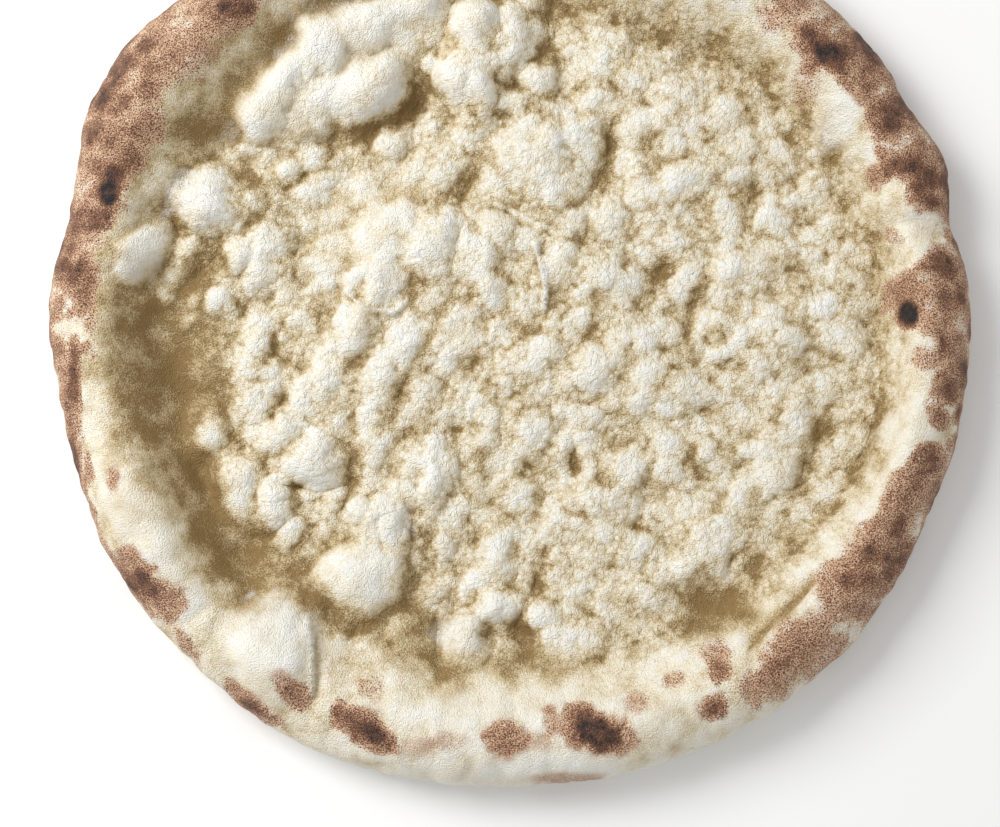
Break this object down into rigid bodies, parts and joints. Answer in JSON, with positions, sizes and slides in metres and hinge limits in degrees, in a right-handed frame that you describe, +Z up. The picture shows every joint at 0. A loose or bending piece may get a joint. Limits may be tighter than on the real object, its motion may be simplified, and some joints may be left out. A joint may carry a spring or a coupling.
{
  "type": "pizza base",
  "caption": "Round par-baked pizza base with a puffed, spotted crust around a thin, blistered bed of pale dough.",
  "frame": {"origin": "middle of the outline's box, on the flat underside", "axes": "+Z up out of the table, through the base's thickness; +Y away from the side of the crust nearest the viewer; +X to the viewer's right"},
  "size_m": [0.2896, 0.2902, 0.0257],
  "materials": {
    "dough": "matte, floury par-baked dough, cream in the bed and browned on the crust"
  },
  "bodies": {
    "root": {"pizza_base": "dough"}
  },
  "joints": []
}
